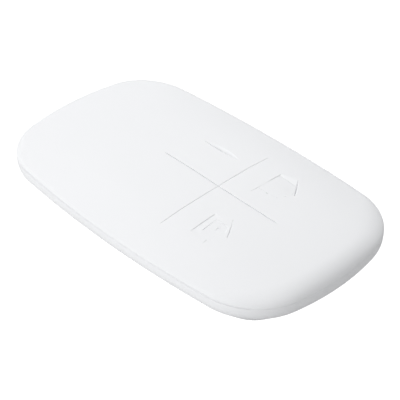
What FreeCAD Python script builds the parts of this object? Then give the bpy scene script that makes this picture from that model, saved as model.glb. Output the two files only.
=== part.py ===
import FreeCAD, Part
import math
import os

import Sketcher

# Alarm remote control: a pebble-shaped, white, hand-held remote with four keys round a cut cross.
# Frame: origin at the middle of the underside, +X towards the end with the keys, +Z up, in mm.

SIZES = {
    # Outline of the housing seen from above
    "body_length": 64.0,
    "body_width": 39.2,
    "side_radius": 229.0,
    "key_end_radius": 46.7,
    "key_corner_radius": 11.8,
    "far_end_radius": 68.8,
    "far_corner_radius": 8.15,
    # Heights and the curve of the top
    "body_height": 10.4,
    "seam_height": 7.5,
    "lengthwise_drop": 1.0,
    "crown_half_width": 8.0,
    "crown_radius": 110.0,
    "cover_edge": 0.35,
    "rim_roll_height": 1.75,
    "rim_roll_depth": 3.6,
    "cover_wall": 1.2,
    # Underside
    "flank_run": 6.0,
    "flank_rise": 5.35,
    "flank_round": 2.5,
    "base_round": 1.0,
    "floor_thickness": 1.4,
    "flank_wall": 1.4,
    "rim_wall": 1.6,
    # Joint between the two covers
    "seal_inset_depth": 0.8,
    "seal_width": 0.6,
    "seal_height": 0.5,
    "lip_thickness": 0.8,
    "lip_depth": 0.7,
    "fit_gap": 0.1,
    # Keys
    "cross_from_key_end": 27.4,
    "key_size": 13.5,
    "cross_gap": 0.25,
    "key_gap": 0.12,
    "key_corner": 1.0,
    "key_underside": 8.2,
    "key_skirt": 0.8,
    "key_flange": 0.8,
    "key_flange_thickness": 0.4,
    "frame_underside": 7.7,
    "frame_width": 1.6,
    "key_pip_radius": 1.1,
    # Symbols sunk in the keys
    "symbol_offset": 7.5,
    "symbol_depth": 0.25,
    "house_width": 6.3,
    "house_wall": 3.3,
    "house_height": 5.8,
    "house_stroke": 1.2,
    "bar_symbol_length": 8.8,
    "bar_symbol_width": 0.8,
    # Circuit board and switches
    "board_underside": 5.6,
    "board_thickness": 0.8,
    "board_inset": 3.2,
    "switch_size": 5.2,
    "switch_height": 0.8,
    "switch_floor": 0.25,
    "switch_bore_radius": 2.1,
    "switch_plate_thickness": 0.2,
    "dome_radius": 1.95,
    "dome_height": 0.3,
    "dome_thickness": 0.1,
    "plunger_radius": 1.25,
    "plunger_flange_radius": 1.7,
    "plunger_flange_thickness": 0.25,
    "plunger_stand": 0.4,
    "plunger_gap": 0.08,
    # Coin cell and its holder
    "cell_from_far_end": 20.5,
    "cell_radius": 10.0,
    "cell_height": 3.2,
    "can_wall": 0.25,
    "cap_radius": 8.7,
    "gasket_width": 0.55,
    "can_lip_height": 2.8,
    "holder_gap": 0.2,
    "holder_wall": 1.0,
    "holder_underside": 2.2,
    "contact_thickness": 0.2,
    "side_contact_width": 4.0,
    "side_foot_length": 2.5,
    "spring_contact_width": 3.0,
    "spring_foot_length": 8.0,
    "spring_bend_length": 4.0,
    "spring_tip_length": 2.0,
    # Battery door
    "door_radius": 12.0,
    "door_gap": 0.1,
    "door_recess": 0.1,
    "door_flange_thickness": 0.5,
    "door_seal_thickness": 0.3,
    "door_seal_width": 0.6,
    "door_hub_radius": 11.0,
    "door_hub_gap": 0.2,
    "door_face_height": 1.3,
    "door_ring_width": 0.6,
    "door_tab_length": 0.9,
    "door_tab_thickness": 0.45,
    "door_tab_gap": 0.05,
    "door_tab_angle": 30.0,
    "door_notch_angle": 36.0,
    "door_turn": 40.0,
    "coin_slot_length": 14.0,
    "coin_slot_width": 1.8,
    "coin_slot_depth": 0.5,
    # Screws and bosses
    "key_screw_from_end": 10.8,
    "key_screw_y": 9.6,
    "far_screw_from_end": 10.0,
    "far_screw_y": 10.5,
    "screw_head_radius": 1.6,
    "screw_head_height": 1.0,
    "screw_head_gap": 0.15,
    "screw_recess_depth": 1.5,
    "screw_shank_radius": 0.9,
    "screw_length": 6.4,
    "thread_gap": 0.02,
    "shank_gap": 0.2,
    "boss_radius": 2.6,
    "cover_boss_radius": 1.8,
    "drive_width": 0.4,
    "drive_length": 2.0,
    "drive_depth": 0.5,
    # Parts on the board
    "chip_key_gap": 0.9,
    "chip_spread": 6.6,
    "chip_size": 5.0,
    "chip_thickness": 0.85,
    "radio_chip_size": 4.0,
    "crystal_length": 3.2,
    "crystal_width": 2.5,
    "crystal_height": 0.8,
    "antenna_wire_radius": 0.35,
    "antenna_span": 20.0,
    "antenna_height": 1.0,
    "antenna_bend": 0.8,
    "antenna_from_end": 6.5,
    "led_length": 1.6,
    "led_width": 0.8,
    "led_height": 0.6,
    "light_pipe_radius": 1.1,
    "light_pipe_gap": 0.04,
    "light_pipe_skin": 0.5,
    "led_air": 0.15,
    "chip_part_length": 1.6,
    "chip_part_width": 0.8,
    "chip_part_height": 0.45,
    "chip_part_pitch": 2.6,
    "capacitor_gap": 1.35,
    "resistor_gap": 1.5,
}

# How far a cutting shape runs past what it cuts, and how close two places count as one
MARGIN = 1.6
NEAR = 0.001

# Steps of the roll that brings the rim from upright to almost flat, as angles in degrees
ROLL_ANGLES = (0, 20, 40, 60, 78)

# Bayonet tabs of the battery door, evenly round it
TAB_COUNT = 3

doc = FreeCAD.newDocument("alarm_remote_control")
sheet = doc.addObject("Spreadsheet::Sheet", "Sizes")
for row, (alias, number) in enumerate(SIZES.items(), start=1):
    sheet.set(f"A{row}", alias)
    sheet.set(f"B{row}", str(number))
    sheet.setAlias(f"B{row}", alias)
doc.recompute()


class Size:
    """A value in mm together with the spreadsheet expression that gives it."""

    def __init__(self, value, text):
        self.value = value
        self.text = text

    def __add__(self, other):
        other = as_size(other)
        return Size(self.value + other.value, f"({self.text} + {other.text})")

    def __sub__(self, other):
        other = as_size(other)
        return Size(self.value - other.value, f"({self.text} - {other.text})")

    def __mul__(self, other):
        other = as_size(other)
        return Size(self.value * other.value, f"({self.text} * {other.text})")

    def __truediv__(self, other):
        other = as_size(other)
        return Size(self.value / other.value, f"({self.text} / {other.text})")

    def __neg__(self):
        return Size(-self.value, f"(0 - {self.text})")

    def root(self):
        return Size(math.sqrt(self.value), f"sqrt({self.text})")


def as_size(number):
    if isinstance(number, Size):
        return number
    return Size(float(number), f"({number})")


def size(alias):
    return Size(SIZES[alias], f"Sizes.{alias}")


def bind(item, path, number):
    """Set a property, or tie it to the sheet when the number comes from there."""
    item.setExpression(path, as_size(number).text)


nodes = {}


def node(item, name):
    item.Label = name
    nodes[name] = item
    return item


def place(item, x=0, y=0, z=0):
    bind(item, "Placement.Base.x", x)
    bind(item, "Placement.Base.y", y)
    bind(item, "Placement.Base.z", z)
    return item


def box(name, length, width, height, x, y, z):
    """A box centred on x and y that stands on z."""
    item = doc.addObject("Part::Box", name)
    bind(item, "Length", length)
    bind(item, "Width", width)
    bind(item, "Height", height)
    return place(item, as_size(x) - as_size(length) / 2, as_size(y) - as_size(width) / 2, z)


def cylinder(name, radius, height, x, y, z):
    item = doc.addObject("Part::Cylinder", name)
    bind(item, "Radius", radius)
    bind(item, "Height", height)
    return place(item, x, y, z)


def cut(name, base, tool):
    item = doc.addObject("Part::Cut", name)
    item.Base = base
    item.Tool = tool
    return item


def fuse(name, pieces):
    item = doc.addObject("Part::MultiFuse", name)
    item.Shapes = pieces
    return item


def common(name, base, tool):
    item = doc.addObject("Part::Common", name)
    item.Base = base
    item.Tool = tool
    return item


def group(name, pieces):
    item = doc.addObject("Part::Compound", name)
    item.Links = pieces
    return item


def new_body(name):
    return doc.addObject("PartDesign::Body", name)


def origin_plane(body, role):
    for item in body.Origin.OriginFeatures:
        if item.Role == role:
            return item
    raise ValueError(role)


def new_sketch(body, name, role="XY_Plane", offset=0):
    """A sketch on an origin plane of its own body, moved along the plane's normal."""
    sketch = body.newObject("Sketcher::SketchObject", name)
    sketch.AttachmentSupport = (origin_plane(body, role), [""])
    sketch.MapMode = "FlatFace"
    bind(sketch, "AttachmentOffset.Base.z", offset)
    return sketch


def dimension(sketch, kind, number, *where):
    """A dimension of a sketch, tied to the sheet."""
    number = as_size(number)
    index = sketch.addConstraint(Sketcher.Constraint(kind, *where, number.value))
    sketch.setExpression(f"Constraints[{index}]", number.text)


def pad(body, sketch, name, length):
    item = body.newObject("PartDesign::Pad", name)
    item.Profile = sketch
    bind(item, "Length", length)
    return item


# The outline: eight arcs in a ring, each tangent to the next

CENTRE_INDEX, START_INDEX, END_INDEX = 3, 1, 2
ORIGIN_INDEX, X_AXIS_INDEX, Y_AXIS_INDEX = -1, -1, -2


def arc(sketch, centre, radius, first, last):
    circle = Part.Circle(FreeCAD.Vector(centre[0], centre[1], 0), FreeCAD.Vector(0, 0, 1), radius)
    return sketch.addGeometry(Part.ArcOfCircle(circle, first, last), False)


def corner_of(half_length, half_width, end_radius, side_radius, corner_radius):
    """Centre of the corner arc that touches an end arc and a side arc, and its two directions."""
    end_x = half_length - end_radius
    side_y = half_width - side_radius
    reach_end = end_radius - corner_radius
    reach_side = side_radius - corner_radius
    between = math.hypot(end_x, side_y)
    along = (reach_side**2 - reach_end**2 + between**2) / (2 * between)
    across = math.sqrt(reach_side**2 - along**2)
    unit_x, unit_y = end_x / between, -side_y / between
    centre_x = unit_x * along - unit_y * across
    centre_y = side_y + unit_y * along + unit_x * across
    if centre_x < 0:
        centre_x = unit_x * along + unit_y * across
        centre_y = side_y + unit_y * along - unit_x * across
    from_end = math.atan2(centre_y, centre_x - end_x)
    from_side = math.atan2(centre_y - side_y, centre_x)
    return (centre_x, centre_y), from_end, from_side


def add_outline(sketch, inset):
    """The housing's outline, drawn smaller by an inset all round."""
    inset = as_size(inset)
    half_length = size("body_length") / 2
    half_width = size("body_width") / 2
    side = size("side_radius")
    ends = {1: (size("key_end_radius"), size("key_corner_radius")),
            -1: (size("far_end_radius"), size("far_corner_radius"))}
    corners = {}
    for way, (end, corner) in ends.items():
        corners[way] = corner_of(half_length.value, half_width.value, end.value, side.value, corner.value)
    (near_centre, near_end, near_side) = corners[1]
    (far_centre, far_end, far_side) = corners[-1]
    near_radius = size("key_corner_radius").value - inset.value
    far_radius = size("far_corner_radius").value - inset.value
    end_x = half_length.value - size("key_end_radius").value
    far_x = -(half_length.value - size("far_end_radius").value)
    side_y = half_width.value - side.value
    pi = math.pi
    arc(sketch, (end_x, 0), size("key_end_radius").value - inset.value, -near_end, near_end)
    arc(sketch, near_centre, near_radius, near_end, near_side)
    arc(sketch, (0, side_y), side.value - inset.value, near_side, pi - far_side)
    arc(sketch, (-far_centre[0], far_centre[1]), far_radius, pi - far_side, pi - far_end)
    arc(sketch, (far_x, 0), size("far_end_radius").value - inset.value, pi - far_end, pi + far_end)
    arc(sketch, (-far_centre[0], -far_centre[1]), far_radius, pi + far_end, pi + far_side)
    arc(sketch, (0, -side_y), side.value - inset.value, pi + far_side, 2 * pi - near_side)
    arc(sketch, (near_centre[0], -near_centre[1]), near_radius, 2 * pi - near_side, 2 * pi - near_end)
    for index in range(8):
        sketch.addConstraint(Sketcher.Constraint("Tangent", index, END_INDEX, (index + 1) % 8, START_INDEX))
    for index in (0, 4):
        sketch.addConstraint(Sketcher.Constraint("PointOnObject", index, CENTRE_INDEX, X_AXIS_INDEX))
    for index in (2, 6):
        sketch.addConstraint(Sketcher.Constraint("PointOnObject", index, CENTRE_INDEX, Y_AXIS_INDEX))
    dimension(sketch, "DistanceX", half_length - size("key_end_radius"), ORIGIN_INDEX, 1, 0, CENTRE_INDEX)
    dimension(sketch, "DistanceX", size("far_end_radius") - half_length, ORIGIN_INDEX, 1, 4, CENTRE_INDEX)
    dimension(sketch, "DistanceY", half_width - side, ORIGIN_INDEX, 1, 2, CENTRE_INDEX)
    dimension(sketch, "DistanceY", side - half_width, ORIGIN_INDEX, 1, 6, CENTRE_INDEX)
    dimension(sketch, "Radius", size("key_end_radius") - inset, 0)
    dimension(sketch, "Radius", size("far_end_radius") - inset, 4)
    for index in (2, 6):
        dimension(sketch, "Radius", side - inset, index)
    for index in (1, 7):
        dimension(sketch, "Radius", size("key_corner_radius") - inset, index)
    for index in (3, 5):
        dimension(sketch, "Radius", size("far_corner_radius") - inset, index)
    return sketch


def outline_block(name, inset, bottom, height):
    """A straight-walled block in the outline's shape."""
    body = new_body(name)
    sketch = add_outline(new_sketch(body, name + "_outline", offset=bottom), inset)
    pad(body, sketch, name + "_pad", height)
    return body


# The crown: everything above the domed top, as a tool that trims the cover and the keys

STATIONS = (-1.06, -0.53, 0, 0.53, 1.06)


def crown_drop(x):
    """How much lower the top is at x than in the middle of the body."""
    half_length = size("body_length") / 2
    return size("lengthwise_drop") * (as_size(x) / half_length) * (as_size(x) / half_length)


def add_crown_profile(sketch, rise, sunk):
    """The cross section above the top: a wide middle arc, a tighter arc each side, and a lid."""
    seam = size("seam_height") + size("cover_edge") - sunk
    middle = size("crown_radius")
    half_middle = size("crown_half_width")
    upright = (middle * middle - half_middle * half_middle).root()
    fall = rise - middle + upright
    run = size("body_width") / 2 - half_middle
    side = ((fall * fall + run * run) * middle) / ((fall * upright - run * half_middle) * 2)
    reach = size("body_width") / 2 + MARGIN
    lid = size("body_height") + MARGIN
    middle_z = seam + rise - middle
    join_angle = math.acos(half_middle.value / middle.value)
    side_y = half_middle.value * (1 - side.value / middle.value)
    side_z = middle_z.value + upright.value * (1 - side.value / middle.value)
    reach_angle = math.acos((reach.value - side_y) / side.value)
    reach_z = side_z + side.value * math.sin(reach_angle)
    arc(sketch, (0, middle_z.value), middle.value, join_angle, math.pi - join_angle)
    arc(sketch, (side_y, side_z), side.value, reach_angle, join_angle)
    arc(sketch, (-side_y, side_z), side.value, math.pi - join_angle, math.pi - reach_angle)
    corners = [(reach.value, reach_z), (reach.value, lid.value), (-reach.value, lid.value), (-reach.value, reach_z)]
    for first, last in zip(corners, corners[1:]):
        ends = [FreeCAD.Vector(y, z, 0) for y, z in (first, last)]
        sketch.addGeometry(Part.LineSegment(*ends), False)
    sketch.addConstraint(Sketcher.Constraint("Tangent", 1, END_INDEX, 0, START_INDEX))
    sketch.addConstraint(Sketcher.Constraint("Tangent", 2, START_INDEX, 0, END_INDEX))
    sketch.addConstraint(Sketcher.Constraint("Coincident", 3, START_INDEX, 1, START_INDEX))
    sketch.addConstraint(Sketcher.Constraint("Coincident", 3, END_INDEX, 4, START_INDEX))
    sketch.addConstraint(Sketcher.Constraint("Coincident", 4, END_INDEX, 5, START_INDEX))
    sketch.addConstraint(Sketcher.Constraint("Coincident", 5, END_INDEX, 2, END_INDEX))
    sketch.addConstraint(Sketcher.Constraint("Vertical", 3))
    sketch.addConstraint(Sketcher.Constraint("Vertical", 5))
    sketch.addConstraint(Sketcher.Constraint("Horizontal", 4))
    sketch.addConstraint(Sketcher.Constraint("PointOnObject", 0, CENTRE_INDEX, Y_AXIS_INDEX))
    dimension(sketch, "DistanceY", middle_z, ORIGIN_INDEX, 1, 0, CENTRE_INDEX)
    dimension(sketch, "Radius", middle, 0)
    dimension(sketch, "Radius", side, 1)
    dimension(sketch, "Radius", side, 2)
    dimension(sketch, "DistanceX", half_middle, ORIGIN_INDEX, 1, 0, START_INDEX)
    dimension(sketch, "DistanceX", -half_middle, ORIGIN_INDEX, 1, 0, END_INDEX)
    dimension(sketch, "DistanceX", reach, ORIGIN_INDEX, 1, 1, START_INDEX)
    dimension(sketch, "DistanceX", -reach, ORIGIN_INDEX, 1, 2, END_INDEX)
    dimension(sketch, "DistanceY", lid, ORIGIN_INDEX, 1, 4, START_INDEX)


def crown(name, sunk=0):
    """The space above the top, or above a face that lies a given depth under it."""
    body = new_body(name)
    full_rise = size("body_height") - size("seam_height") - size("cover_edge")
    sections = []
    for index, station in enumerate(STATIONS):
        x = size("body_length") / 2 * station
        sketch = new_sketch(body, f"{name}_section_{index}", "YZ_Plane", x)
        add_crown_profile(sketch, full_rise - crown_drop(x), as_size(sunk))
        sections.append(sketch)
    loft = body.newObject("PartDesign::AdditiveLoft", name + "_loft")
    loft.Profile = sections[0]
    loft.Sections = sections[1:]
    loft.Ruled = False
    return body


# Heights that several pieces share

half_length = size("body_length") / 2
cross_x = half_length - size("cross_from_key_end")
cell_x = size("cell_from_far_end") - half_length
seam = size("seam_height")
board_top = size("board_underside") + size("board_thickness")
lip_inset = size("rim_wall") + size("fit_gap")
cover_inset = lip_inset + size("lip_thickness")
key_reach = size("key_size") + size("key_gap")
key_middle = size("key_size") / 2
half_part = size("chip_part_length") / 2
chip_x = cross_x - size("key_size") - size("key_flange") - size("chip_key_gap") - size("chip_size") / 2
resistor_x = chip_x - size("chip_size") / 2 - size("resistor_gap") - half_part
capacitor_x = cross_x - key_middle - size("switch_size") / 2 - size("capacitor_gap") - half_part
switch_top = board_top + size("switch_height")
plate_top = switch_top + size("switch_plate_thickness")
plunger_top = plate_top + size("plunger_stand")
above = size("body_height") + MARGIN
screw_seat = size("screw_recess_depth")
screw_tip = screw_seat + size("screw_length")
cell_base = size("door_face_height")

screw_places = []
for way in (1, -1):
    screw_places.append((half_length - size("key_screw_from_end"), size("key_screw_y") * way))
    screw_places.append((size("far_screw_from_end") - half_length, size("far_screw_y") * way))

outer_crown = crown("crown_outside")
inner_crown = crown("crown_inside", size("cover_wall"))
symbol_crown = crown("crown_symbols", size("symbol_depth"))
doc.recompute()


# Top cover


def rolled_block():
    """The cover before its top is cut: upright at the seam, then leaning in step by step."""
    body = new_body("cover_block")
    rim = seam + size("cover_edge")
    levels = [(seam, as_size(0))]
    for angle in ROLL_ANGLES:
        turn = math.radians(angle)
        levels.append((rim + size("rim_roll_height") * math.sin(turn),
                       size("rim_roll_depth") * (1 - math.cos(turn))))
    levels.append((above, size("rim_roll_depth") + MARGIN))
    sections = []
    for index, (height, inset) in enumerate(levels):
        sections.append(add_outline(new_sketch(body, f"cover_level_{index}", offset=height), inset))
    loft = body.newObject("PartDesign::AdditiveLoft", "cover_loft")
    loft.Profile = sections[0]
    loft.Sections = sections[1:]
    loft.Ruled = True
    return body


cover_outside = cut("cover_outside", rolled_block(), outer_crown)

lip_bottom = seam - size("lip_depth")
lip_block = outline_block("lip_block", lip_inset, lip_bottom, size("lip_depth") + size("cover_edge"))
hollow_block = outline_block("hollow_block", cover_inset, lip_bottom - MARGIN, above - lip_bottom)
hollow_under_crown = cut("hollow_under_crown", hollow_block, inner_crown)

frame_reach = key_reach + size("frame_width")
frame_height = above - size("frame_underside")
frame_block = box("frame_block", frame_reach * 2, frame_reach * 2, frame_height,
                  cross_x, 0, size("frame_underside"))
kept = [frame_block]
for index, (x, y) in enumerate(screw_places):
    kept.append(cylinder(f"cover_boss_{index}", size("cover_boss_radius"), above - board_top, x, y, board_top))
hollow = cut("hollow", hollow_under_crown, fuse("cover_bosses_and_frame", kept))

window_block = box("window_block", key_reach * 2, key_reach * 2, above, cross_x, 0, 0)
doc.recompute()
window = doc.addObject("Part::Fillet", "window")
window.Base = window_block
window.Edges = [(index, SIZES["key_corner"] + SIZES["key_gap"], SIZES["key_corner"] + SIZES["key_gap"])
                for index, edge in enumerate(window_block.Shape.Edges, start=1)
                if edge.BoundBox.ZLength > NEAR]
openings = [hollow, window]
pilot_radius = size("screw_shank_radius") + size("thread_gap")
for index, (x, y) in enumerate(screw_places):
    depth = screw_tip - board_top + size("fit_gap")
    openings.append(cylinder(f"pilot_{index}", pilot_radius, depth, x, y, board_top))
pipe_top = size("body_height") - crown_drop(resistor_x) - size("light_pipe_skin")
pipe_bottom = board_top + size("led_height") + size("led_air")
pipe_hole_radius = size("light_pipe_radius") + size("light_pipe_gap")
openings.append(cylinder("pipe_hole", pipe_hole_radius, pipe_top - pipe_bottom, resistor_x, 0, pipe_bottom))
node(cut("top_cover_solid", fuse("cover_and_lip", [cover_outside, lip_block]), fuse("cover_openings", openings)),
     "top_cover")

# Back cover


def tub(name, low_inset, low, high_inset, high, top):
    """A tray shape: a sloping flank from a small flat base, then an upright wall."""
    body = new_body(name)
    foot = add_outline(new_sketch(body, name + "_foot", offset=low), low_inset)
    brim = add_outline(new_sketch(body, name + "_brim", offset=high), high_inset)
    loft = body.newObject("PartDesign::AdditiveLoft", name + "_flank")
    loft.Profile = foot
    loft.Sections = [brim]
    loft.Ruled = True
    wall = add_outline(new_sketch(body, name + "_wall", offset=high), high_inset)
    pad(body, wall, name + "_upright", as_size(top) - high)
    return body


def level_edges(shape, height):
    return [f"Edge{index}" for index, edge in enumerate(shape.Edges, start=1)
            if abs(edge.BoundBox.ZMin - height) < NEAR and edge.BoundBox.ZLength < NEAR]


def round_level(body, name, height, radius):
    """Rounds the ring of edges that lies at one height."""
    doc.recompute()
    last = body.Tip
    item = body.newObject("PartDesign::Fillet", name)
    item.Base = (last, level_edges(last.Shape, height.value))
    bind(item, "Radius", radius)
    doc.recompute()


run = size("flank_run")
rise = size("flank_rise")
slope_wall = size("flank_wall") * (run * run + rise * rise).root() / rise
floor = size("floor_thickness")
hollow_low_inset = run - run * floor / rise + slope_wall
hollow_bend = rise + rise * (slope_wall - size("rim_wall")) / run
tray = tub("tray", run, as_size(0), as_size(0), rise, seam)
round_level(tray, "flank_rounding", rise, size("flank_round"))
round_level(tray, "base_rounding", as_size(0), size("base_round"))
tray_hollow = tub("tray_hollow", hollow_low_inset, floor, size("rim_wall"), hollow_bend, above)
seal_ledge = seam - size("seal_height")
seal_channel = outline_block("seal_channel", size("seal_inset_depth"), seal_ledge, size("seal_height") + MARGIN)

posts = []
post_bores = []
for index, (x, y) in enumerate(screw_places):
    posts.append(cylinder(f"post_{index}", size("boss_radius"), size("board_underside") - size("fit_gap"), x, y,
                          size("fit_gap")))
    bore_radius = size("screw_shank_radius") + size("shank_gap")
    post_bores.append(cylinder(f"post_bore_{index}", bore_radius, above, x, y, 0))
    recess_radius = size("screw_head_radius") + size("screw_head_gap")
    post_bores.append(cylinder(f"head_recess_{index}", recess_radius, screw_seat, x, y, 0))

door_pocket_top = size("door_recess") + size("door_flange_thickness") + size("door_seal_thickness")
door_bores = [
    cylinder("door_pocket", size("door_radius") + size("door_gap"), door_pocket_top, cell_x, 0, 0),
    cylinder("door_hole", size("door_hub_radius") + size("door_hub_gap"), floor + MARGIN, cell_x, 0, 0),
]


def sector(name, radius, height, angle, middle, z):
    """A slice of a disc about the middle of the battery door, centred on a direction."""
    item = doc.addObject("Part::Cylinder", name)
    bind(item, "Radius", radius)
    bind(item, "Height", height)
    bind(item, "Angle", angle)
    turn = FreeCAD.Rotation(FreeCAD.Vector(0, 0, 1), middle - SIZES[angle_name(angle)] / 2)
    item.Placement = FreeCAD.Placement(FreeCAD.Vector(0, 0, 0), turn)
    return place(item, cell_x, 0, z)


def angle_name(angle):
    return angle.text.removeprefix("Sizes.")


tab_radius = size("door_hub_radius") + size("door_tab_length")
for index in range(TAB_COUNT):
    door_bores.append(sector(f"door_notch_{index}", tab_radius + size("door_gap"), floor + MARGIN,
                             size("door_notch_angle"), 360 / TAB_COUNT * index - SIZES["door_turn"], 0))

tray_shell = cut("tray_shell", tray, fuse("tray_spaces", [tray_hollow, seal_channel]))
node(cut("back_cover_solid", fuse("tray_and_posts", [tray_shell] + posts),
         fuse("back_bores", post_bores + door_bores)), "back_cover")

seal_inset = size("seal_inset_depth") + size("fit_gap")
seal_outside = outline_block("seal_outside", seal_inset, seal_ledge, size("seal_height"))
seal_inside = outline_block("seal_inside", seal_inset + size("seal_width"), seal_ledge, size("seal_height"))
node(cut("case_seal_solid", seal_outside, seal_inside), "case_seal")

# Screws


def screw(index, x, y):
    head_z = screw_seat - size("screw_head_height")
    head = cylinder(f"screw_head_{index}", size("screw_head_radius"), size("screw_head_height"), x, y, head_z)
    shank = cylinder(f"screw_shank_{index}", size("screw_shank_radius"), size("screw_length"), x, y, screw_seat)
    slots = []
    for number, (long, wide) in enumerate((("drive_length", "drive_width"), ("drive_width", "drive_length"))):
        slots.append(box(f"screw_drive_{index}_{number}", size(long), size(wide), size("drive_depth"), x, y, head_z))
    whole = fuse(f"screw_blank_{index}", [head, shank])
    return cut(f"screw_{index}", whole, fuse(f"screw_cross_{index}", slots))


node(group("screws", [screw(index, x, y) for index, (x, y) in enumerate(screw_places)]), "case_screws")

# Circuit board

board_blank = outline_block("board_blank", size("board_inset"), size("board_underside"), size("board_thickness"))
board_holes = []
for index, (x, y) in enumerate(screw_places):
    radius = size("screw_shank_radius") + size("shank_gap")
    board_holes.append(cylinder(f"board_hole_{index}", radius, above, x, y, 0))
node(cut("board_solid", board_blank, fuse("board_holes", board_holes)), "circuit_board")

# Keys, and a switch under each

KEYS = {"away": (1, 1), "home": (1, -1), "disarm": (-1, 1), "alert": (-1, -1)}


def add_polygon(sketch, points):
    """A closed outline of straight lines, each corner dimensioned from the origin."""
    count = len(points)
    for first, last in zip(points, points[1:] + points[:1]):
        ends = [FreeCAD.Vector(x.value, y.value, 0) for x, y in (first, last)]
        sketch.addGeometry(Part.LineSegment(*ends), False)
    for index in range(count):
        sketch.addConstraint(Sketcher.Constraint("Coincident", index, END_INDEX, (index + 1) % count, START_INDEX))
    for index, (x, y) in enumerate(points):
        dimension(sketch, "DistanceX", x, ORIGIN_INDEX, 1, index, START_INDEX)
        dimension(sketch, "DistanceY", y, ORIGIN_INDEX, 1, index, START_INDEX)


def house(name, y, inset):
    """A house shape seen from above, its roof towards the end of the body."""
    base = cross_x + size("symbol_offset") - size("house_height") / 2
    roof = size("house_height") - size("house_wall")
    half = size("house_width") / 2
    stretch = (roof * roof + half * half).root() / half
    ridge = base + size("house_height") - inset * stretch
    eaves = base + size("house_wall") - inset * (stretch - roof / half)
    base = base + inset
    half = half - inset
    points = [(base, y - half), (eaves, y - half), (ridge, y), (eaves, y + half), (base, y + half)]
    body = new_body(name)
    sketch = new_sketch(body, name + "_lines", offset=size("frame_underside"))
    add_polygon(sketch, points)
    pad(body, sketch, name + "_pad", above - size("frame_underside"))
    return body


def symbol(key):
    """The shape that is sunk in a key's top, before it is trimmed to its depth."""
    offset = size("symbol_offset")
    if key == "away":
        return house("away_house", offset, as_size(0))
    if key == "home":
        return cut("home_house", house("home_house_outside", -offset, as_size(0)),
                   house("home_house_inside", -offset, size("house_stroke")))
    if key == "disarm":
        return box("disarm_bar", size("bar_symbol_length"), size("bar_symbol_width"), above,
                   cross_x - offset, offset, 0)
    return None


def key(name, along, across):
    """One quarter of the key field: a plate, a skirt and flange under the frame, and a pip."""
    half_gap = size("cross_gap") / 2
    side = size("key_size") - half_gap
    middle = half_gap + side / 2
    block = box(f"{name}_block", side, side, above - size("frame_underside"),
                cross_x + middle * along, middle * across, size("frame_underside"))
    doc.recompute()
    rounded = doc.addObject("Part::Fillet", f"{name}_corner")
    rounded.Base = block
    far_x = cross_x.value + SIZES["key_size"] * along
    far_y = SIZES["key_size"] * across
    rounded.Edges = [(index, SIZES["key_corner"], SIZES["key_corner"])
                     for index, edge in enumerate(block.Shape.Edges, start=1)
                     if math.hypot(edge.CenterOfMass.x - far_x, edge.CenterOfMass.y - far_y) < NEAR]
    well_side = side - size("key_skirt")
    well_middle = half_gap + well_side / 2
    well = box(f"{name}_well", well_side, well_side, size("key_underside") - size("frame_underside"),
               cross_x + well_middle * along, well_middle * across, size("frame_underside"))
    flange_bottom = size("frame_underside") - size("key_flange_thickness")
    flange_width = size("key_skirt") + size("key_flange")
    flange_middle = size("key_size") - size("key_skirt") + flange_width / 2
    flange_length = side + size("key_flange")
    flange_half = half_gap + flange_length / 2
    pieces = [cut(f"{name}_plate_and_skirt", rounded, well)]
    pieces.append(box(f"{name}_flange_end", flange_width, flange_length, size("key_flange_thickness"),
                      cross_x + flange_middle * along, flange_half * across, flange_bottom))
    pieces.append(box(f"{name}_flange_side", flange_length, flange_width, size("key_flange_thickness"),
                      cross_x + flange_half * along, flange_middle * across, flange_bottom))
    pieces.append(cylinder(f"{name}_pip", size("key_pip_radius"), size("key_underside") - plunger_top,
                           cross_x + key_middle * along, key_middle * across, plunger_top))
    trims = [outer_crown]
    mark = symbol(name)
    if mark is not None:
        trims.append(common(f"{name}_symbol", mark, symbol_crown))
    tool = trims[0] if len(trims) == 1 else fuse(f"{name}_trims", trims)
    return node(cut(f"{name}_key_solid", fuse(f"{name}_key_blank", pieces), tool), f"{name}_key")


def switch(name, along, across):
    """A flat push switch: base with a round well, snap dome, plunger and steel cover plate."""
    x, y = cross_x + key_middle * along, key_middle * across
    well_floor = board_top + size("switch_floor")
    block = box(f"{name}_switch_block", size("switch_size"), size("switch_size"), size("switch_height"),
                x, y, board_top)
    well = cylinder(f"{name}_switch_well", size("switch_bore_radius"), size("switch_height"), x, y, well_floor)
    node(cut(f"{name}_switch_base_solid", block, well), f"{name}_switch_base")

    plate = box(f"{name}_plate_blank", size("switch_size"), size("switch_size"), size("switch_plate_thickness"),
                x, y, switch_top)
    hole = cylinder(f"{name}_plate_hole", size("plunger_radius") + size("plunger_gap"), above, x, y, 0)
    node(cut(f"{name}_switch_plate_solid", plate, hole), f"{name}_switch_plate")

    flange_z = switch_top - size("plunger_flange_thickness")
    flange = cylinder(f"{name}_plunger_flange", size("plunger_flange_radius"), size("plunger_flange_thickness"),
                      x, y, flange_z)
    button = cylinder(f"{name}_plunger_button", size("plunger_radius"), plunger_top - flange_z, x, y, flange_z)
    node(fuse(f"{name}_switch_plunger_solid", [flange, button]), f"{name}_switch_plunger")

    rim, height = size("dome_radius"), size("dome_height")
    ball_radius = (rim * rim + height * height) / (height * 2)
    ball_z = well_floor + height - ball_radius
    balls = []
    for part_name, radius in (("outside", ball_radius), ("inside", ball_radius - size("dome_thickness"))):
        ball = doc.addObject("Part::Sphere", f"{name}_dome_{part_name}")
        bind(ball, "Radius", radius)
        balls.append(place(ball, x, y, ball_z))
    slab = cylinder(f"{name}_dome_slab", size("switch_bore_radius"), height + MARGIN, x, y, well_floor)
    node(common(f"{name}_switch_dome_solid", cut(f"{name}_dome_shell", *balls), slab), f"{name}_switch_dome")


for key_name, (way_x, way_y) in KEYS.items():
    key(key_name, way_x, way_y)
    switch(key_name, way_x, way_y)

# Parts soldered on the board

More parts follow.
